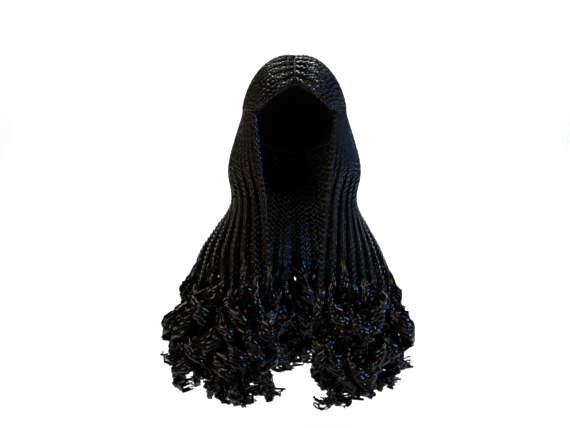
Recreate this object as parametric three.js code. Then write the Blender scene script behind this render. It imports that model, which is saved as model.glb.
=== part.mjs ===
// A box-braid wig in the form that it has on a head: a stretch cap, the plaits that lie on the cap,
// and the plaits that hang from it, each with its loose curled end.
// Millimetres, +Z up, the face opening towards -Y and the wearer's left towards +X.
// The origin is the inside of the cap at the top of the head.
import * as THREE from "three";

const { degToRad, lerp, smoothstep } = THREE.MathUtils;

// The head that the cap is knitted to fit.
const headHalfWidth = 76;
const headHalfDepth = 96;
const crownRise = 100; // top of the head above its widest line

// The cap.
const capWall = 2;
const capSides = 24;
const capRows = 6;

// Clearances between pieces that touch.
const seatGap = 0.4; // plait to cap, and left half to right half
const buttGap = 0.7; // a hanging plait below the edge of the crown plaits
const plaitGap = 0.8; // side by side on the cap

// The plaits on the cap. Angles are in degrees.
const plaitsPerSide = 23;
const templeAngle = 50; // first plait, round the widest line from the middle of the face
const partFrontAngle = 31; // front end of the middle parting, up from the widest line
const partBackAngle = 118; // back end of the parting, beyond the top of the head
const partHalfWidth = 1.5;
const hairlineBow = 6; // how far the first plaits bend down over the forehead, fading towards the back
const crownEdgeAngle = 6; // where the plaits leave the cap, up from the widest line
const crownRows = 6;
const rootThickness = 0.55; // share of the plait's width at the parting
const valleyThickness = 0.45; // share of the plait's width between two plaits
const lowerRootFrom = 0.3; // every second plait rises from the cap between these shares of the way down
const lowerRootTo = 0.55;

// The hanging hair.
const hairLength = 550; // from the top of the head to the lowest curl
const frontPlaits = Math.round(plaitsPerSide * 0.65); // the rest hangs down the back
const hangSteps = 6;
const tubeSides = 5;

// The curled ends.
const curlDrop = 352; // the plait ends and the curl begins
const curlGrowth = 55; // the curl reaches its full radius this much lower
const curlRadius = 17;
const curlPitch = 75; // fall of one turn
const curlSteps = 14;
const lockWidth = 11; // the loose hair is thicker than the plait
const tipWidth = 4;

// How the hair falls over the shoulders. A row is one height: the drop as a share of the hair's length,
// the place of the first plait as shares of the head's half width and half depth, the heading in degrees
// in which the next ones follow it and how far that turns, their spacing on the wearer's right and left,
// and how far apart the layers lie, both in spacings of the plaits on the cap.
const frontFall = [
  { drop: 0.3, x: 0.78, y: -0.78, heading: 32, turn: 78, right: 1.1, left: 1.1, layer: 0 },
  { drop: 0.395, x: 0.66, y: -0.86, heading: 36, turn: 66, right: 1.1, left: 1.08, layer: 0.5 },
  { drop: 0.465, x: 0.62, y: -1.0, heading: 34, turn: 54, right: 1.1, left: 1.04, layer: 0.9 },
  { drop: 0.535, x: 0.58, y: -1.12, heading: 20, turn: 48, right: 1.1, left: 0.96, layer: 1.2 },
  { drop: 0.675, x: 0.52, y: -1.2, heading: 2, turn: 34, right: 1.1, left: 0.98, layer: 2.0 },
  { drop: 0.8, x: 0.55, y: -1.2, heading: -2, turn: 24, right: 1.22, left: 1.0, layer: 2.4 },
  { drop: 1.0, x: 0.54, y: -1.18, heading: -2, turn: 20, right: 1.2, left: 1.0, layer: 2.4 },
];
const backFall = [
  { drop: 0.3, x: 0.06, y: 1.09, heading: 0, turn: -62, right: 1.1, left: 1.1, layer: 0 },
  { drop: 0.395, x: 0.06, y: 1.0, heading: 0, turn: -56, right: 1.14, left: 1.14, layer: 0.2 },
  { drop: 0.535, x: 0.08, y: 1.12, heading: 0, turn: -26, right: 1.4, left: 1.4, layer: 1.2 },
  { drop: 0.675, x: 0.12, y: 1.22, heading: 0, turn: -16, right: 1.65, left: 1.65, layer: 1.9 },
  { drop: 1.0, x: 0.15, y: 1.24, heading: 0, turn: -12, right: 1.75, left: 1.75, layer: 2.2 },
];
const frontLayers = 2;
const backLayers = 2;

// The tips end higher towards the outside, and every next one a little higher or lower.
const outerTipRise = 0.1; // share of the hair's length
const innerTipRise = 0.025;
const backTipRise = 0.06;
const tipStagger = 9;

// The widest line of the plaits on the cap, seen from above: half of an ellipse from temple to nape.
const plaitPitch = widestLine(capWall + seatGap).getLength() / plaitsPerSide;
const plaitWidth = plaitPitch - plaitGap;

function widestLine(lift) {
  const nape = Math.PI / 2 - seatGap / headHalfWidth;
  const temple = degToRad(templeAngle - 90);
  return new THREE.EllipseCurve(
    0, 0, headHalfWidth + lift, headHalfDepth + lift, temple, nape, false, 0,
  );
}

// A unit direction from the middle of the head, put on the surface that lies lift outside the head.
function onHead(direction, lift, side = 1) {
  return new THREE.Vector3(
    side * direction.x * (headHalfWidth + lift),
    direction.y * (headHalfDepth + lift),
    direction.z * (crownRise + lift) - crownRise,
  );
}

// The direction of the widest line at share u from temple to nape, raised by an angle in degrees.
function edgeDirection(u, angle) {
  const line = widestLine(0);
  const p = line.getPointAt(u);
  const level = Math.cos(degToRad(angle));
  return new THREE.Vector3(
    (p.x / headHalfWidth) * level, (p.y / headHalfDepth) * level, Math.sin(degToRad(angle)),
  );
}

// The direction of the parting at share u from front to back.
function partDirection(u) {
  const rise = degToRad(lerp(partFrontAngle, partBackAngle, u));
  const aside = partHalfWidth / headHalfWidth;
  return new THREE.Vector3(
    Math.sin(aside), -Math.cos(rise) * Math.cos(aside), Math.sin(rise) * Math.cos(aside),
  );
}

// Share t of the way from the parting to the edge, along a great circle that bows over the forehead.
function crownDirection(u, t) {
  const from = partDirection(u);
  const to = edgeDirection(u, crownEdgeAngle);
  const angle = from.angleTo(to);
  const bow = Math.sin(degToRad(hairlineBow)) * Math.sin(Math.PI * t) * (1 - u) ** 4;
  const direction = from
    .multiplyScalar(Math.sin((1 - t) * angle))
    .addScaledVector(to, Math.sin(t * angle))
    .normalize();
  direction.z -= bow;
  return direction.normalize();
}

// A closed solid through rings of equally many points. An end is closed by a fan to its middle or to
// a given point, or, where its ring runs out along one edge of a strip and back along the other, by
// that strip.
function loft(rings, ends, poles = []) {
  const count = rings[0].length;
  const points = rings.flat();
  const faces = [];
  rings.slice(1).forEach((_, row) => {
    for (let i = 0; i < count; i++) {
      const a = row * count + i;
      const b = row * count + ((i + 1) % count);
      faces.push([a, b, b + count], [a, b + count, a + count]);
    }
  });
  [0, rings.length - 1].forEach((row, last) => {
    const end = [];
    if (ends === "fan") {
      const middle = points.length;
      const sum = rings[row].reduce((total, p) => total.add(p), new THREE.Vector3());
      points.push(poles[last] ?? sum.divideScalar(count));
      for (let i = 0; i < count; i++)
        end.push([row * count + ((i + 1) % count), row * count + i, middle]);
    } else {
      for (let i = 0; i < count / 2 - 1; i++) {
        const [a, b] = [row * count + i, row * count + i + 1];
        const [c, d] = [row * count + count - 2 - i, row * count + count - 1 - i];
        end.push([b, a, d], [b, d, c]);
      }
    }
    faces.push(...(last ? end.map((f) => f.reverse()) : end));
  });
  const geometry = new THREE.BufferGeometry().setFromPoints(points);
  geometry.setIndex(faces.flat());
  geometry.computeVertexNormals();
  return geometry;
}

// The lower edge of the cap as an angle from the widest line: over the forehead, in front of the ears
// and down to the nape.
const capEdge = [
  { round: 0, angle: 28 },
  { round: 25, angle: 20 },
  { round: 45, angle: 7 },
  { round: 62, angle: -7 },
  { round: 95, angle: -9 },
  { round: 130, angle: -20 },
  { round: 160, angle: -26 },
  { round: 180, angle: -27 },
];

function capEdgeAngle(round) {
  const next = capEdge.findIndex((row) => row.round >= round);
  if (next < 1) return capEdge[0].angle;
  const [a, b] = [capEdge[next - 1], capEdge[next]];
  return lerp(a.angle, b.angle, smoothstep(round, a.round, b.round));
}

// The cap: a thin shell open downwards, with its outside and inside joined at the rim.
function capGeometry() {
  const ring = (share, lift) =>
    Array.from({ length: capSides }, (_, i) => {
      const round = (360 * i) / capSides;
      const edge = capEdgeAngle(Math.min(round, 360 - round));
      const angle = degToRad(lerp(90, edge, share));
      const turn = degToRad(round);
      return onHead(
        new THREE.Vector3(
          Math.sin(turn) * Math.cos(angle), -Math.cos(turn) * Math.cos(angle), Math.sin(angle),
        ),
        lift,
      );
    });
  const top = new THREE.Vector3(0, 0, 1);
  const shares = Array.from({ length: capRows }, (_, i) => (i + 1) / capRows);
  const inside = shares.map((share) => ring(share, 0));
  const outside = shares.map((share) => ring(share, capWall)).reverse();
  return loft([...inside, ...outside], "fan", [onHead(top, 0), onHead(top, capWall)]);
}

// The plaits that lie on one half of the cap, side by side from temple to nape and grown together:
// a ribbed skin, with each second rib rising from the cap only part of the way down.
function crownGeometry(side) {
  const columns = 2 * plaitsPerSide;
  const flatness = headHalfDepth * (1 - Math.cos(Math.PI / 4 / crownRows)); // of the inside's facets
  const inner = capWall + seatGap + flatness;
  const thickness = (column, t) => {
    const root = lerp(rootThickness, 1, smoothstep(t, 0, 0.2));
    const lower = column % 4 === 3 ? smoothstep(t, lowerRootFrom, lowerRootTo) : 1;
    const ridge = column % 2 === 1 ? lerp(valleyThickness, 1, lower) : valleyThickness;
    return plaitWidth * root * ridge;
  };
  const rings = Array.from({ length: crownRows + 1 }, (_, row) => {
    const t = row / crownRows;
    const edge = (lift) =>
      Array.from({ length: columns + 1 }, (_, column) =>
        onHead(crownDirection(column / columns, t), lift(column), side),
      );
    return [...edge((column) => inner + thickness(column, t)), ...edge(() => inner).reverse()];
  });
  return loft(side < 0 ? rings : rings.reverse(), "strip");
}

// Where the plait with this index in its group stands at one row of a fall.
function fallPoint(row, index, count, side, layers) {
  const spacing = plaitPitch * (side > 0 ? row.left : row.right);
  const p = new THREE.Vector2(row.x * headHalfWidth, row.y * headHalfDepth);
  const heading = (i) => degToRad(row.heading + (row.turn * i) / (count - 1));
  for (let i = 0; i < index; i++) {
    p.x += spacing * Math.cos(heading(i + 0.5));
    p.y += spacing * Math.sin(heading(i + 0.5));
  }
  const depth = (index % layers) * row.layer * plaitPitch;
  const back = Math.sign(-row.y); // further layers lie nearer the body
  return new THREE.Vector3(
    side * (p.x - back * depth * Math.sin(heading(index))),
    p.y + back * depth * Math.cos(heading(index)),
    -row.drop * hairLength,
  );
}

// The line of one hanging plait down to its tip, and the solid along it.
function plaitGeometry(u, fall, index, count, side, layers, tipDrop) {
  const lift = capWall + seatGap + plaitWidth / 2;
  const startAngle = crownEdgeAngle - THREE.MathUtils.radToDeg(buttGap / crownRise);
  const start = onHead(edgeDirection(u, startAngle), lift, side);
  const below = onHead(edgeDirection(u, 0), lift, side);
  const line = fall.map((row) => fallPoint(row, index, count, side, layers));
  const path = new THREE.CatmullRomCurve3([start, below, ...line], false, "centripetal");
  const shareAt = (drop) => {
    const [a, b] = [0, 1].map((end) => path.getPointAt(end).z);
    let share = (a + drop) / (a - b);
    for (let i = 0; i < 4; i++) share += (path.getPointAt(share).z + drop) / (a - b);
    return share;
  };
  const curlShare = shareAt(curlDrop);
  const tipShare = shareAt(tipDrop);
  const shares = [
    ...Array.from({ length: hangSteps }, (_, i) => (curlShare * i) / hangSteps),
    ...Array.from({ length: curlSteps + 1 }, (_, i) => lerp(curlShare, tipShare, i / curlSteps)),
  ];
  const centre = (share) => {
    const p = path.getPointAt(Math.min(share, 1));
    const drop = -p.z;
    const radius = curlRadius * smoothstep(drop, curlDrop, curlDrop + curlGrowth);
    const phase = (2 * Math.PI * (drop - curlDrop)) / curlPitch;
    return p.add(new THREE.Vector3(radius * Math.cos(phase), radius * Math.sin(phase), 0));
  };
  const width = (share) => {
    if (share <= curlShare) return plaitWidth;
    const t = (share - curlShare) / (tipShare - curlShare);
    const full = lerp(plaitWidth, lockWidth, smoothstep(t, 0, 0.25));
    return lerp(full, tipWidth, smoothstep(t, 0.6, 1));
  };
  const step = 0.004;
  const rings = shares.map((share, i) => {
    const middle = centre(share);
    const along = i === 0
      ? new THREE.Vector3(0, 0, -1)
      : centre(share + step).sub(centre(share - step)).normalize();
    const across = new THREE.Vector3(1, 0, 0).addScaledVector(along, -along.x).normalize();
    const up = along.clone().cross(across);
    return Array.from({ length: tubeSides }, (_, n) => {
      const turn = (2 * Math.PI * n) / tubeSides;
      return middle
        .clone()
        .addScaledVector(across, (Math.cos(turn) * width(share)) / 2)
        .addScaledVector(up, (Math.sin(turn) * width(share)) / 2);
    });
  });
  return loft(rings, "fan");
}

// Materials: black stretch net, and black synthetic fibre.
const capNet = new THREE.MeshStandardMaterial({ color: 0x101012, roughness: 0.85, metalness: 0 });
const fibre = new THREE.MeshStandardMaterial({ color: 0x14110f, roughness: 0.38, metalness: 0 });

const wig = new THREE.Group();

function add(name, geometry, material) {
  const mesh = new THREE.Mesh(geometry, material);
  mesh.name = name;
  wig.add(mesh);
}

add("cap", capGeometry(), capNet);
for (const [name, side] of [["left", 1], ["right", -1]]) {
  add(`${name}_crown_plaits`, crownGeometry(side), fibre);
  for (let k = 0; k < plaitsPerSide; k++) {
    const front = k < frontPlaits;
    const backCount = plaitsPerSide - frontPlaits;
    const [count, index] = front ? [frontPlaits, k] : [backCount, plaitsPerSide - 1 - k];
    const across = index / (count - 1);
    const rise = front
      ? lerp(innerTipRise * (1 - across) ** 2, outerTipRise, across ** 2)
      : backTipRise;
    const tipDrop = hairLength * (1 - rise) - tipStagger * (k % 3);
    const [fall, layers] = front ? [frontFall, frontLayers] : [backFall, backLayers];
    const u = (k + 0.5) / plaitsPerSide;
    const number = String(index + 1).padStart(2, "0");
    add(
      `${name}_${front ? "front" : "back"}_plait_${number}`,
      plaitGeometry(u, fall, index, count, side, layers, tipDrop),
      fibre,
    );
  }
}

export default wig;
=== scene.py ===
import math
import random

import bpy
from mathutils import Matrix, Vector


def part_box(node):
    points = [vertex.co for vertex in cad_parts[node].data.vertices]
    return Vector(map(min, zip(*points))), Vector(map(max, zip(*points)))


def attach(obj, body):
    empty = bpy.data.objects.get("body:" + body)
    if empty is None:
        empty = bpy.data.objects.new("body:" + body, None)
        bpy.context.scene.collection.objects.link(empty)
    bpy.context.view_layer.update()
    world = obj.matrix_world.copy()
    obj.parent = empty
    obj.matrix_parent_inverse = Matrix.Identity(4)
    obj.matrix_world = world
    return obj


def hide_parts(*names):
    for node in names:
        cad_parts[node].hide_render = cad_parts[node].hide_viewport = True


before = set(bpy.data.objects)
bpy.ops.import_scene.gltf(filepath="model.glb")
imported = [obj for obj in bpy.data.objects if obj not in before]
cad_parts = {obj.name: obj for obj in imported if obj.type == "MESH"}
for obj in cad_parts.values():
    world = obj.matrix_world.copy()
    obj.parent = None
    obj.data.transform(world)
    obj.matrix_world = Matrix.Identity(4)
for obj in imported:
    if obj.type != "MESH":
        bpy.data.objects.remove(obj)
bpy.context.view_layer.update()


# The cap. A shell of black stretch net that the hair is looped through, knitted in one piece.
# It is cut away over the face, and its edge is turned in and sewn down as a hem.
head_half_width = 0.076
head_half_depth = 0.096
crown_rise = 0.100
cap_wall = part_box("cap")[1].z
net_wall = 0.0012
hem_height = 0.009
hem_swell = 0.0009
cap_sides = 96
cap_rows = 28
net_cells = 700.0  # to a metre
thread_fade = (0.04, 0.22)  # from a cell's edge inwards: where the thread fades, where the hole starts
# the holes are painted nearly black, as painted shade seen through the gaps in the net
painted_hole_shade = (0.002, 0.002, 0.002, 1)
thread_colour = (0.016, 0.016, 0.018, 1)
thread_relief = 0.0004
thread_relief_strength = 0.7
thread_roughness = 0.8
cap_edge = (  # degrees round from the middle of the face, and degrees up from the widest line
    {"round": 0, "angle": 28},
    {"round": 25, "angle": 20},
    {"round": 45, "angle": 7},
    {"round": 62, "angle": -7},
    {"round": 95, "angle": -9},
    {"round": 130, "angle": -20},
    {"round": 160, "angle": -26},
    {"round": 180, "angle": -27},
)


class Thread:
    """One socket of a node tree. Sums written with threads add the Math nodes that they need."""

    def __init__(self, tree, socket=None):
        self.tree = tree
        self.socket = socket

    def node(self, kind, settings=None, sockets=None, output=0):
        """Adds a node: its settings first, then values or threads for its sockets."""
        made = self.tree.nodes.new(kind)
        for name, value in (settings or {}).items():
            if name == "stops":
                for stop, (place, colour) in zip(made.color_ramp.elements, value):
                    stop.position = place
                    stop.color = colour
            else:
                setattr(made, name, value)
        for name, value in (sockets or {}).items():
            socket = next(s for s in made.inputs if s.identifier == name)
            if isinstance(value, Thread):
                self.tree.links.new(value.socket, socket)
            else:
                socket.default_value = value
        return Thread(self.tree, made.outputs[output])

    def math(self, operation, *values):
        names = ("Value", "Value_001", "Value_002")
        sockets = dict(zip(names, (self, *values)))
        return self.node("ShaderNodeMath", {"operation": operation}, sockets)

    def vector(self, operation, other=None, output=0):
        sockets = {"Vector": self}
        if other is not None:
            sockets["Scale" if operation == "SCALE" else "Vector_001"] = other
        return self.node("ShaderNodeVectorMath", {"operation": operation}, sockets, output)

    def smooth(self, start, end, low=0.0, high=1.0):
        """Rises from low to high, with a soft start and end."""
        names = ("Value", "From Min", "From Max", "To Min", "To Max")
        sockets = dict(zip(names, (self, start, end, low, high)))
        return self.node("ShaderNodeMapRange", {"interpolation_type": "SMOOTHSTEP"}, sockets)

    def __add__(self, other):
        return self.math("ADD", other)

    def __radd__(self, other):
        return self.math("ADD", other)

    def __sub__(self, other):
        return self.math("SUBTRACT", other)

    def __rsub__(self, other):
        return self.math("MULTIPLY_ADD", -1.0, other)

    def __mul__(self, other):
        return self.math("MULTIPLY", other)

    def __rmul__(self, other):
        return self.math("MULTIPLY", other)

    def __truediv__(self, other):
        return self.math("DIVIDE", other)


def new_material(name):
    """An empty material, with the thread that its nodes are added through and its shader."""
    material = bpy.data.materials.new(name)
    material.use_nodes = True
    tree = material.node_tree
    return material, Thread(tree), tree.nodes["Principled BSDF"]


def feed(shader, name, thread):
    thread.tree.links.new(thread.socket, shader.inputs[name])


def cap_edge_angle(turn):
    """The cap's lower edge, in degrees up from the widest line, at a turn from the face."""
    away = min(turn, 360 - turn)
    for before, after in zip(cap_edge, cap_edge[1:]):
        if away <= after["round"]:
            share = (away - before["round"]) / (after["round"] - before["round"])
            soft = share * share * (3 - 2 * share)
            return before["angle"] + (after["angle"] - before["angle"]) * soft
    return cap_edge[-1]["angle"]


def on_head(direction, lift):
    """The place where a direction from the middle of the head meets a skin at this lift."""
    return Vector((
        direction.x * (head_half_width + lift),
        direction.y * (head_half_depth + lift),
        direction.z * (crown_rise + lift) - crown_rise,
    ))


def cap_mesh():
    """The net's outside from the top down, round the hem, and its inside back up."""
    outer = cap_wall
    profile = [(row / cap_rows, outer, 0.0) for row in range(1, cap_rows + 1)]
    inner = [(row / cap_rows, outer - net_wall, 1.0) for row in range(cap_rows, 0, -1)]
    points = [on_head(Vector((0, 0, 1)), outer)]
    for share, lift, inside in profile + inner:
        for side in range(cap_sides):
            turn = 360 * side / cap_sides
            edge = cap_edge_angle(turn)
            angle = math.radians(90 + (edge - 90) * share)
            around = math.radians(turn)
            height = (1 - share) * math.radians(90 - edge) * crown_rise
            swell = max(0.0, 1 - height / hem_height) ** 0.5
            way = Vector((
                math.sin(around) * math.cos(angle),
                -math.cos(around) * math.cos(angle),
                math.sin(angle),
            ))
            points.append(on_head(way, lift - inside * hem_swell * swell))
    points.append(on_head(Vector((0, 0, 1)), outer - net_wall))
    last = len(points) - 1
    rings = 2 * cap_rows
    faces = []
    for side in range(cap_sides):
        following = (side + 1) % cap_sides
        faces.append((0, 1 + side, 1 + following))
        for ring in range(rings - 1):
            a, b = (1 + ring * cap_sides + n for n in (side, following))
            faces.append((a, a + cap_sides, b + cap_sides, b))
        a, b = (1 + (rings - 1) * cap_sides + n for n in (side, following))
        faces.append((a, last, b))
    mesh = bpy.data.meshes.new("net_cap")
    mesh.from_pydata(points, [], faces)
    mesh.shade_smooth()
    return mesh


def net_material():
    """Black knitted net: dull threads, with painted shade in the small holes between them."""
    material, wire, shader = new_material("cap_net")
    place = wire.node("ShaderNodeTexCoord", output=3)
    cells = wire.node(
        "ShaderNodeTexVoronoi", {"feature": "DISTANCE_TO_EDGE"}, {"Vector": place, "Scale": net_cells},
    )
    thread = 1 - cells.smooth(*thread_fade)
    # colour runs from the holes' painted shade to the thread's own black
    colour = thread.node(
        "ShaderNodeValToRGB",
        {"stops": ((0.0, painted_hole_shade), (1.0, thread_colour))},
        {"Fac": thread},
    )
    bump = thread.node(
        "ShaderNodeBump",
        None,
        {"Height": thread, "Strength": thread_relief_strength, "Distance": thread_relief},
    )
    feed(shader, "Base Color", colour)
    feed(shader, "Normal", bump)
    shader.inputs["Roughness"].default_value = thread_roughness
    return material


net_cap = bpy.data.objects.new("net_cap", cap_mesh())
bpy.context.scene.collection.objects.link(net_cap)
net_cap.data.materials.append(net_material())
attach(net_cap, "root")
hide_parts("cap")


# The plaits. Each is three strands of black synthetic fibre crossed by hand from the parting down,
# fixed to the cap at its root. It hangs free from the cap's widest line, and where the plaiting ends
# its hair is set round a rod into one long loose curl of flat locks, whose end rolls under.
seat_gap = 0.0004
plaits_per_side = 23
part_front_angle = 31  # degrees up and over the head from the middle of the face
part_back_angle = 118
part_half_width = 0.0015
hairline_bow = 6  # degrees
hairline_fade = 4  # how quickly the bow dies out towards the back
low_root_share = 0.16  # every second plait starts this share of the way down from the parting
crown_points = 12
rise_share = 0.25  # the share of its way on the cap over which a plait rises to its full lift
root_height = 0.3  # of a root's middle over the cap, as a share of the plait's depth

plait_width = 0.0098
plait_depth = 0.0086
strand_width = 0.0050
crossing_length = 0.0270  # one strand's way from an edge of the plait and back
sample_length = 0.0021
strand_sides = 5
strand_count = 3
strand_flatness = 0.9
root_taper = 0.02
root_size = 0.75
end_taper = 0.014
end_size = 0.5

curl_drop = 0.352
curl_growth = 0.055  # the drop over which a curl gets its full radius
curl_radius = 0.017
curl_pitch = 0.075
curl_sway = 0.006
sway_waves = (31.0, 24.0)  # radians to a metre, sideways and front to back
any_turn = 6.28  # radians, a whole turn
curl_opening = 0.045  # the drop over which a plait's end opens into its curl
bunch_start = 0.018  # above the plait's end, where its locks part round it
bunch_radius = 0.0028
tip_length = 0.026  # the most that a curl's line goes on below the solid that its braid replaces
roll_room = 0.012  # added to that line, since its end rolls up and gets shorter
loosening = 0.020  # the locks start this far up in the plait
bend_length = 0.040  # the end of a lock or tip that bends
gather_from = 0.6  # from this share of the curl on, its locks draw together
gather = 0.5
pitch_scatter = 0.01
lock_points = 56
lock_count = 6
lock_width = 0.0105
lock_depth = 0.0040
lock_spacing = 0.0042
lock_sides = 6
scatter_out = 0.5  # the share of a scatter by which a lock may stand out of its curl
lock_scatter = 0.035
lock_shortest = 0.96  # share of the curl's length
lock_bend = 0.016  # radius
lock_taper = 0.16  # share of the curl's length over which a lock gets thin
lock_tip = 0.35  # the share of its width that a lock keeps at its tip
lock_salt = 10  # the salts keep the random draws of locks, tips and sway apart
tip_points = 90
tip_width = 0.0042
tip_flatness = 0.6
tip_sides = 5
tip_scatter = 0.2
tip_shortest = 0.97
tip_bend = 0.014  # radius
tip_taper = 0.22
tip_end = 0.3
tip_salt = 30
sway_salt = 50

fibres_round = 4.5  # the noise is read on a circle of this radius, once round a lock
fibres_along = 60.0  # cells of the noise to a metre
lock_shift = 31.0  # so that no two locks have the same fibres
fibre_tone = 0.6  # how much the fibres and the lock decide of the tone
lock_tone = 0.4
fibre_black = (0.0022, 0.0020, 0.0020, 1)
fibre_brown = (0.0085, 0.0062, 0.0045, 1)
fibre_relief = 0.0002
fibre_relief_strength = 0.16
fibre_roughness = 0.17
fibre_roughness_range = 0.12
fibre_specular = 0.45

hand_spread = {  # lowest and highest share of the size that a braid really gets
    "crossing": (0.94, 1.06),
    "radius": (0.72, 1.12),
    "pitch": (0.72, 1.05),
    "sway": (0.3, 1.0),
    "spacing": (0.85, 1.1),
    "tip": (0.2, 1.0),
}
hand_seed = 23
braid_seeds = 10000
plait_end_spread = (-0.020, 0.030)
loose_tip_choice = (0, 1, 1)  # one braid in three has no loose tip


def ring_middles(node):
    """The middles of the rings that a hanging plait's solid is lofted through, top first."""
    places = sorted({tuple(round(c, 6) for c in v.co) for v in node.data.vertices}, key=lambda p: -p[2])
    ring_size = 5  # the solid's sides
    inner = places[1 + ring_size:-1 - ring_size]
    rings = [places[:1 + ring_size]]
    rings += [inner[i:i + ring_size] for i in range(0, len(inner), ring_size)]
    rings += [places[-1 - ring_size:]]
    return [sum((Vector(p) for p in ring), Vector()) / len(ring) for ring in rings]


def curl_axis(middle):
    """The point of the curl's axis level with a point of the curl."""
    drop = -middle.z
    share = min(max((drop - curl_drop) / curl_growth, 0), 1)
    radius = curl_radius * share * share * (3 - 2 * share)
    turn = 2 * math.pi * (drop - curl_drop) / curl_pitch
    return middle - radius * Vector((math.cos(turn), math.sin(turn), 0))


def crown_route(start, index, side):
    """Points on the cap from the parting to a plait's free stretch, along a great circle."""
    lift = cap_wall + seat_gap + plait_width / 2
    to = Vector((
        start.x / (head_half_width + lift),
        start.y / (head_half_depth + lift),
        (start.z + crown_rise) / (crown_rise + lift),
    )).normalized()
    share = (index + 0.5) / plaits_per_side
    bow = math.sin(math.radians(hairline_bow)) * (1 - share) ** hairline_fade
    rise = math.radians(part_front_angle + (part_back_angle - part_front_angle) * share)
    aside = part_half_width / head_half_width
    root = Vector((
        side * math.sin(aside), -math.cos(rise) * math.cos(aside), math.sin(rise) * math.cos(aside),
    ))
    first = low_root_share if index % 2 else 0.0
    route = []
    for point in range(crown_points):
        down = first + (1 - first) * point / crown_points
        rising = min(1, point / crown_points / rise_share)
        low = cap_wall + plait_depth * root_height
        way = root.slerp(to, down)
        way.z -= bow * math.sin(math.pi * down)
        route.append(on_head(way.normalized(), low + (lift - low) * rising))
    return route


def part_at(line, drop):
    """Splits a falling line at a drop below the top of the head; both parts have the point there."""
    for i, (above, below) in enumerate(zip(line, line[1:])):
        if -below.z > drop:
            share = (-drop - above.z) / (below.z - above.z)
            point = above.lerp(below, share)
            return line[:i + 1] + [point], [point] + line[i + 1:]
    raise ValueError("the line ends above this drop")


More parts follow.
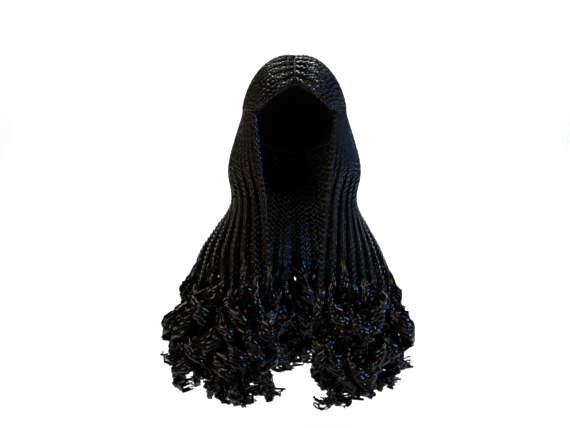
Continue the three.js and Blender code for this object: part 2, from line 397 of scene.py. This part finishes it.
def braid_tree():
    """Geometry nodes that plait three strands along the first line and wind locks round the second."""
    tree = bpy.data.node_groups.new("braid", "GeometryNodeTree")
    sockets = {}
    for name, kind in (
        ("Geometry", "NodeSocketGeometry"),
        ("Plait width", "NodeSocketFloat"),
        ("Plait depth", "NodeSocketFloat"),
        ("Strand width", "NodeSocketFloat"),
        ("Crossing length", "NodeSocketFloat"),
        ("Plait turn", "NodeSocketFloat"),
        ("Plait end", "NodeSocketFloat"),
        ("Sample length", "NodeSocketFloat"),
        ("Curl radius", "NodeSocketFloat"),
        ("Curl pitch", "NodeSocketFloat"),
        ("Curl turn", "NodeSocketFloat"),
        ("Curl way", "NodeSocketFloat"),
        ("Curl sway", "NodeSocketFloat"),
        ("Lock width", "NodeSocketFloat"),
        ("Lock depth", "NodeSocketFloat"),
        ("Lock spacing", "NodeSocketFloat"),
        ("Lock count", "NodeSocketInt"),
        ("Loose tips", "NodeSocketInt"),
        ("Seed", "NodeSocketInt"),
        ("Material", "NodeSocketMaterial"),
    ):
        sockets[name] = tree.interface.new_socket(name, in_out="INPUT", socket_type=kind).identifier
    tree.interface.new_socket("Geometry", in_out="OUTPUT", socket_type="NodeSocketGeometry")
    entry = tree.nodes.new("NodeGroupInput")
    given = {name: Thread(tree, entry.outputs[name]) for name in sockets}
    wire = Thread(tree)

    lines = wire.node("GeometryNodeMeshToCurve", None, {"Mesh": given["Geometry"]})
    lines = wire.node("GeometryNodeCurveSplineType", {"spline_type": "CATMULL_ROM"}, {"Curve": lines})
    order = wire.node("GeometryNodeInputIndex")
    first = order.math("LESS_THAN", 0.5)
    parts = tree.nodes.new("GeometryNodeSeparateGeometry")
    parts.domain = "CURVE"
    tree.links.new(lines.socket, parts.inputs["Geometry"])
    tree.links.new(first.socket, parts.inputs["Selection"])
    plait_line = Thread(tree, parts.outputs["Selection"])
    curl_line = Thread(tree, parts.outputs["Inverted"])

    place = wire.node("GeometryNodeInputPosition")
    tangent = wire.node("GeometryNodeInputTangent")
    run = wire.node("GeometryNodeSplineParameter", output=1)
    share = wire.node("GeometryNodeSplineParameter", output=0)
    whole = wire.node("GeometryNodeSplineLength", output=0)

    def axes(thread):
        split = tree.nodes.new("ShaderNodeSeparateXYZ")
        tree.links.new(thread.socket, split.inputs[0])
        return [Thread(tree, out) for out in split.outputs]

    def join_axes(x, y, z):
        return wire.node("ShaderNodeCombineXYZ", None, {"X": x, "Y": y, "Z": z})

    def store(geometry, name, value, kind="FLOAT"):
        return wire.node(
            "GeometryNodeStoreNamedAttribute",
            {"data_type": kind, "domain": "POINT"},
            {"Geometry": geometry, "Name": name, "Value": value},
        )

    def recall(name):
        return wire.node("GeometryNodeInputNamedAttribute", {"data_type": "FLOAT"}, {"Name": name})

    def copies(geometry, amount):
        made = tree.nodes.new("GeometryNodeDuplicateElements")
        made.domain = "SPLINE"
        tree.links.new(geometry.socket, made.inputs["Geometry"])
        if isinstance(amount, Thread):
            tree.links.new(amount.socket, made.inputs["Amount"])
        else:
            made.inputs["Amount"].default_value = amount
        return [Thread(tree, out) for out in made.outputs]

    def chance(low, high, item, salt):
        return wire.node(
            "FunctionNodeRandomValue",
            {"data_type": "FLOAT"},
            {"Min_001": low, "Max_001": high, "ID": item, "Seed": given["Seed"] + salt},
            output=1,
        )

    def skin(geometry, sides, width, depth, scale):
        """A closed tube of oval section along each spline, with its fibres' direction stored on it."""
        oval = wire.node(
            "GeometryNodeCurvePrimitiveCircle", {"mode": "RADIUS"}, {"Resolution": sides, "Radius": 0.5},
        )
        around = share * (2 * math.pi)
        oval = store(oval, "around", around)
        size = join_axes(depth, width, 1.0)
        oval = wire.node("GeometryNodeTransform", None, {"Geometry": oval, "Scale": size})
        tube = wire.node(
            "GeometryNodeCurveToMesh",
            None,
            {"Curve": geometry, "Profile Curve": oval, "Scale": scale, "Fill Caps": True},
        )
        turn = recall("around")
        fibre = join_axes(turn.math("COSINE"), turn.math("SINE"), recall("along"))
        tube = store(tube, "fibre", fibre, "FLOAT_VECTOR")
        return wire.node("GeometryNodeSetShadeSmooth", None, {"Geometry": tube, "Shade Smooth": True})

    # Three strands crossed along the plait, flat side out, small at the root and drawn in at the end.
    line = wire.node(
        "GeometryNodeResampleCurve",
        {"mode": "LENGTH"},
        {"Curve": plait_line, "Length": given["Sample length"]},
    )
    x, y, z = axes(place)
    inside = join_axes(0.0, 0.0, z.math("MINIMUM", -crown_rise))
    outward = place.vector("SUBTRACT", inside)
    along_line = tangent.vector("SCALE", outward.vector("DOT_PRODUCT", tangent, output=1))
    outward = outward.vector("SUBTRACT", along_line).vector("NORMALIZE")
    sideways = tangent.vector("CROSS_PRODUCT", outward)
    growth = run.smooth(0.0, root_taper, root_size, 1.0)
    ending = (whole - run).smooth(0.0, end_taper, end_size, 1.0)
    size = growth * ending
    line, strand = copies(line, strand_count)
    line = store(line, "along", run)
    line = store(line, "lock", chance(0.0, 1.0, strand, 1))
    cross = run / given["Crossing length"] + strand / strand_count + given["Plait turn"]
    cross = cross * (2 * math.pi)
    half_width = (given["Plait width"] - given["Strand width"]) * 0.5
    half_depth = (given["Plait depth"] - given["Strand width"] * strand_flatness) * 0.5
    wide = cross.math("SINE") * half_width * size
    deep = (cross * 2.0).math("SINE") * half_depth * size
    offset = sideways.vector("SCALE", wide).vector("ADD", outward.vector("SCALE", deep))
    line = wire.node("GeometryNodeSetPosition", None, {"Geometry": line, "Offset": offset})
    width = given["Strand width"]
    plait = skin(line, strand_sides, width, width * strand_flatness, size)

    # Locks wound round the curl's axis side by side, thinner where they leave the plait and at the tip.
    # At the end they leave the winding and bend under, to the curl's other side, or out, as loose tips.
    def wound(amount, wide, deep, sides, points, scatter, shortest, bend, under, taper, thin_end, salt):
        line = wire.node(
            "GeometryNodeResampleCurve", {"mode": "COUNT"}, {"Curve": curl_line, "Count": points},
        )
        line, lock = copies(line, amount)
        line = wire.node(
            "GeometryNodeTrimCurve",
            {"mode": "FACTOR"},
            {"Curve": line, "Start": 0.0, "End": chance(shortest, 1.0, lock, salt + 1)},
        )
        loose = z * -1.0 - given["Plait end"]
        opened = loose.smooth(0.0, curl_opening)
        full = loose.smooth(0.0, curl_growth)
        tip = share.smooth(gather_from, 1.0)
        middle = amount * 0.5 - 0.5
        beside = (lock - middle) * given["Lock spacing"] * opened * (1 - tip * gather)
        place_round = lock / amount * (2 * math.pi)
        bunch = loose.smooth(-bunch_start, 0.0, 0.0, bunch_radius) * (1 - opened)
        pitch = given["Curl pitch"] * chance(1 - pitch_scatter, 1 + pitch_scatter, lock, salt + 2)
        own_turn = chance(-scatter, scatter, lock, salt + 3)
        fall = (run - whole + bend_length).math("MAXIMUM", 0.0)
        angle = fall / bend
        turns = (loose - fall) / pitch * (2 * math.pi) * given["Curl way"]
        turn = turns + given["Curl turn"] + own_turn
        radius = given["Curl radius"] * full * chance(1 - scatter, 1 + scatter * scatter_out, lock, salt + 4)
        round_x = turn.math("COSINE")
        round_y = turn.math("SINE")
        sway = []
        for n, wave in enumerate(sway_waves):
            swing = loose * wave + chance(0.0, any_turn, 0, sway_salt + n)
            sway.append(swing.math("SINE") * given["Curl sway"] * opened)
        reach = (1 - angle.math("COSINE")) * bend
        aim = chance(0.0, any_turn, 0, salt + 6)
        lifted = fall - angle.math("SINE") * bend
        reach_x = (aim.math("COSINE") * (1 - under) - round_x * under) * reach
        reach_y = (aim.math("SINE") * (1 - under) - round_y * under) * reach
        line = wire.node(
            "GeometryNodeSetCurveNormal",
            {"mode": "FREE"},
            {"Curve": line, "Normal": join_axes(round_x, round_y, 0.0)},
        )
        offset = join_axes(
            round_x * radius + place_round.math("COSINE") * bunch + sway[0] + reach_x,
            round_y * radius + place_round.math("SINE") * bunch + sway[1] + reach_y,
            beside + lifted,
        )
        line = wire.node("GeometryNodeSetPosition", None, {"Geometry": line, "Offset": offset})
        line = store(line, "along", run)
        line = store(line, "lock", chance(0.0, 1.0, lock, salt))
        body = loose.smooth(-root_taper, root_taper, root_size, 1.0)
        body = body * (1 - share).smooth(0.0, taper, thin_end, 1.0)
        return skin(line, sides, wide, deep, body)

    locks = wound(
        amount=given["Lock count"],
        wide=given["Lock width"],
        deep=given["Lock depth"],
        sides=lock_sides,
        points=lock_points,
        scatter=lock_scatter,
        shortest=lock_shortest,
        bend=lock_bend,
        under=1.0,
        taper=lock_taper,
        thin_end=lock_tip,
        salt=lock_salt,
    )
    loose_tips = wound(
        amount=given["Loose tips"],
        wide=tip_width,
        deep=tip_width * tip_flatness,
        sides=tip_sides,
        points=tip_points,
        scatter=tip_scatter,
        shortest=tip_shortest,
        bend=tip_bend,
        under=0.0,
        taper=tip_taper,
        thin_end=tip_end,
        salt=tip_salt,
    )

    joined = tree.nodes.new("GeometryNodeJoinGeometry")
    for part in (loose_tips, locks, plait):
        tree.links.new(part.socket, joined.inputs[0])
    whole_braid = Thread(tree, joined.outputs[0])
    whole_braid = wire.node("GeometryNodeRealizeInstances", None, {"Geometry": whole_braid})
    whole_braid = wire.node(
        "GeometryNodeSetMaterial", None, {"Geometry": whole_braid, "Material": given["Material"]},
    )
    leave = tree.nodes.new("NodeGroupOutput")
    tree.links.new(whole_braid.socket, leave.inputs[0])
    return tree, sockets


def fibre_material():
    """Black-brown synthetic hair: fine fibres along each lock, softly glossy, some locks browner."""
    material, wire, shader = new_material("hair_fibre")
    fibre = wire.node("ShaderNodeAttribute", {"attribute_name": "fibre"}, output=1)
    lock = wire.node("ShaderNodeAttribute", {"attribute_name": "lock"}, output=2)
    split = wire.tree.nodes.new("ShaderNodeSeparateXYZ")
    wire.tree.links.new(fibre.socket, split.inputs[0])
    x, y, z = (Thread(wire.tree, out) for out in split.outputs)
    place = wire.node(
        "ShaderNodeCombineXYZ",
        None,
        {"X": x * fibres_round, "Y": y * fibres_round, "Z": z * fibres_along + lock * lock_shift},
    )
    fine = wire.node(
        "ShaderNodeTexNoise", None, {"Vector": place, "Scale": 1.0, "Detail": 3.0, "Roughness": 0.6},
    )
    tone = fine * fibre_tone + lock * lock_tone
    colour = tone.node(
        "ShaderNodeValToRGB", {"stops": ((0.25, fibre_black), (0.85, fibre_brown))}, {"Fac": tone},
    )
    bump = fine.node(
        "ShaderNodeBump",
        None,
        {"Height": fine, "Strength": fibre_relief_strength, "Distance": fibre_relief},
    )
    feed(shader, "Base Color", colour)
    feed(shader, "Roughness", fine * fibre_roughness_range + fibre_roughness)
    feed(shader, "Normal", bump)
    shader.inputs["Specular IOR Level"].default_value = fibre_specular
    return material


braid_nodes, braid_sockets = braid_tree()
hair_fibre = fibre_material()
by_hand = random.Random(hand_seed)


def make_braid(name, line, end, loose_tips, fineness=1.0, breadth=1.0):
    """One whole braid as a plain mesh, along its line from the root to the tip."""
    longer = roll_room + tip_length * by_hand.uniform(*hand_spread["tip"])
    tip = line[-1] + (line[-1] - line[-2]).normalized() * longer
    line = line + [tip]
    plait_route = part_at(line, end)[0]
    curl_route = part_at(line, end - loosening)[1]
    points = plait_route + curl_route
    edges = [(i, i + 1) for i in range(len(points) - 1) if i != len(plait_route) - 1]
    lines = bpy.data.meshes.new(name)
    lines.from_pydata(points, edges, [])
    host = bpy.data.objects.new(name + "_lines", lines)
    bpy.context.scene.collection.objects.link(host)
    weave = host.modifiers.new("braid", "NODES")
    weave.node_group = braid_nodes
    for socket, value in (
        ("Plait width", plait_width * breadth),
        ("Plait depth", plait_depth),
        ("Strand width", strand_width * breadth),
        ("Crossing length", crossing_length * by_hand.uniform(*hand_spread["crossing"])),
        ("Plait turn", by_hand.random()),
        ("Plait end", end),
        ("Sample length", sample_length / fineness),
        ("Curl radius", curl_radius * by_hand.uniform(*hand_spread["radius"])),
        ("Curl pitch", curl_pitch * by_hand.uniform(*hand_spread["pitch"])),
        ("Curl turn", by_hand.uniform(0, 2 * math.pi)),
        ("Curl way", by_hand.choice((-1, 1))),
        ("Curl sway", curl_sway * by_hand.uniform(*hand_spread["sway"])),
        ("Lock width", lock_width),
        ("Lock depth", lock_depth),
        ("Lock spacing", lock_spacing * by_hand.uniform(*hand_spread["spacing"])),
        ("Lock count", round(lock_count * fineness)),
        ("Loose tips", loose_tips),
        ("Seed", by_hand.randrange(braid_seeds)),
        ("Material", hair_fibre),
    ):
        weave[braid_sockets[socket]] = value
    shapes = bpy.context.evaluated_depsgraph_get()
    mesh = bpy.data.meshes.new_from_object(
        host.evaluated_get(shapes), preserve_all_data_layers=True, depsgraph=shapes,
    )
    bpy.data.objects.remove(host)
    bpy.data.meshes.remove(lines)
    mesh.name = name
    braid = bpy.data.objects.new(name, mesh)
    bpy.context.scene.collection.objects.link(braid)
    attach(braid, "root")
    return braid


falls = {}
for side_name, side in (("left", 1), ("right", -1)):
    for group in ("front", "back"):
        nodes = sorted(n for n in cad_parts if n.startswith(f"{side_name}_{group}_plait_"))
        falls[side_name, group] = []
        for number, node in enumerate(nodes):
            index = number if group == "front" else plaits_per_side - 1 - number
            hanging = [curl_axis(m) for m in ring_middles(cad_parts[node])]
            falls[side_name, group].append(hanging)
            line = crown_route(hanging[0], index, side) + hanging
            end = curl_drop + by_hand.uniform(*plait_end_spread)
            loose_tips = by_hand.choice(loose_tip_choice)
            braid = make_braid(node.replace("plait", "braid"), line, end, loose_tips)
            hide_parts(node, f"{side_name}_crown_plaits")


# The under braids. The same plaits sewn along the cap's hem, below and behind the others, which close
# the gaps between them. They are made as the others are, with fewer locks in each curl.
under_top_depth = 0.0095  # further in than the braids that cover them
under_depth = 0.0100
under_free_drop = 0.140
under_turn_drop = 0.1  # over which their way in turns from the head's middle to straight behind the others
hem_clear = 0.01  # at least this far below the hem, the line goes on
hem_root = 6  # degrees up from the cap's edge
hem_gap = 0.0012
hem_lift = cap_wall + hem_gap
under_fineness = 0.7
under_breadth = 1.1
under_end_spread = (-0.030, 0.030)
under_places = (  # of the two under braids between a pair of neighbours
    {"letter": "a", "share": 0.33},
    {"letter": "b", "share": 0.67},
)
under_short = 2  # points left off at the tip, so that it ends inside the others' curls


def under_line(one, other, share, forward):
    """A line between two neighbouring braids, drawn in under them, from the hem to the tips."""
    between = [a.lerp(b, share) for a, b in zip(one, other)]
    root = between[0]
    turn = math.degrees(math.atan2(root.x / head_half_width, -root.y / head_half_depth)) % 360
    rise = math.radians(cap_edge_angle(turn) + hem_root)
    around = math.radians(turn)
    hem = on_head(
        Vector((
            math.sin(around) * math.cos(rise), -math.cos(around) * math.cos(rise), math.sin(rise),
        )),
        hem_lift,
    )
    line = [hem]
    for point in between:
        if -point.z > max(under_free_drop, hem_clear - hem.z):
            lower = min(1, (-point.z - under_free_drop) / under_turn_drop)
            depth = under_top_depth + (under_depth - under_top_depth) * lower
            inward = Vector((-point.x * (1 - lower), forward * abs(point.y), 0)).normalized()
            line.append(point + inward * depth)
    return line


neighbours = []
for (side_name, group), lines in falls.items():
    for number, pair in enumerate(zip(lines, lines[1:])):
        neighbours.append((f"{side_name}_{group}_under_braid_{number + 1:02d}", group, pair))
middle_pair = (falls["left", "back"][0], falls["right", "back"][0])
neighbours.append(("middle_back_under_braid", "back", middle_pair))
for name, group, (one, other) in neighbours:
    for place in under_places:
        forward = 1 if group == "front" else -1
        line = under_line(one[:-under_short], other[:-under_short], place["share"], forward)
        end = curl_drop + by_hand.uniform(*under_end_spread)
        make_braid(f"{name}_{place['letter']}", line, end, 0, under_fineness, under_breadth)


# The setting. A pale floor that curves up into a backdrop, one warm and one cool soft light from the
# sides, a light from above, one more on the backdrop, and the camera level with the middle of the hair.
floor_drop = 0.63
backdrop_behind = 2.6
backdrop_height = 0.95
sweep_radius = 0.7
backdrop_half_width = 1.35
floor_front = 0.25
sweep_steps = 16
paper_white = (0.86, 0.86, 0.86, 1)
paper_roughness = 0.9
wig_middle = (0, 0, -0.28)
wall_middle = (0, 2.4, -0.2)
room_light = 0.01
eye_place = (-0.0155, -1.59, -0.253)
eye_lens = 61.1
film_width = 36


def sweep_mesh():
    """The floor, a quarter-round sweep and the wall as one sheet."""
    profile = [(-floor_front, -floor_drop)]
    for step in range(sweep_steps + 1):
        turn = math.pi / 2 * step / sweep_steps
        profile.append((
            backdrop_behind - sweep_radius + sweep_radius * math.sin(turn),
            -floor_drop + sweep_radius * (1 - math.cos(turn)),
        ))
    profile.append((backdrop_behind, backdrop_height))
    points = [(x, y, z) for y, z in profile for x in (-backdrop_half_width, backdrop_half_width)]
    faces = [(2 * i, 2 * i + 1, 2 * i + 3, 2 * i + 2) for i in range(len(profile) - 1)]
    mesh = bpy.data.meshes.new("backdrop")
    mesh.from_pydata(points, [], faces)
    mesh.shade_smooth()
    return mesh


backdrop = bpy.data.objects.new("backdrop", sweep_mesh())
bpy.context.scene.collection.objects.link(backdrop)
pale, wire, paper = new_material("pale_paper")
paper.inputs["Base Color"].default_value = paper_white
paper.inputs["Roughness"].default_value = paper_roughness
backdrop.data.materials.append(pale)


def soft_light(name, place, aim, size, power, colour):
    lamp = bpy.data.lights.new(name, "AREA")
    lamp.shape = "DISK"
    lamp.size = size
    lamp.energy = power
    lamp.color = colour
    holder = bpy.data.objects.new(name, lamp)
    holder.location = place
    holder.rotation_euler = (Vector(aim) - Vector(place)).to_track_quat("-Z", "Y").to_euler()
    bpy.context.scene.collection.objects.link(holder)


soft_light(
    "warm_side", place=(-1.3, -1.5, 0.55), aim=wig_middle, size=0.9, power=15, colour=(1.0, 0.78, 0.46),
)
soft_light(
    "cool_side", place=(1.65, -0.75, 0.25), aim=wig_middle, size=0.42, power=22, colour=(0.25, 0.50, 1.0),
)
soft_light(
    "above", place=(0.1, -0.7, 1.7), aim=wig_middle, size=0.4, power=5, colour=(1.0, 0.97, 0.92),
)
soft_light(
    "on_backdrop", place=(0, 1.1, 2.4), aim=wall_middle, size=1.6, power=150, colour=(1.0, 1.0, 1.0),
)

world = bpy.data.worlds.new("room")
world.use_nodes = True
world.node_tree.nodes["Background"].inputs["Color"].default_value = (1, 1, 1, 1)
world.node_tree.nodes["Background"].inputs["Strength"].default_value = room_light
bpy.context.scene.world = world
bpy.context.scene.view_settings.view_transform = "Standard"

eye = bpy.data.cameras.new("camera")
eye.sensor_width = film_width
eye.lens = eye_lens
camera = bpy.data.objects.new("camera", eye)
camera.location = eye_place
camera.rotation_euler = (math.radians(90), 0, 0)
bpy.context.scene.collection.objects.link(camera)
bpy.context.scene.camera = camera
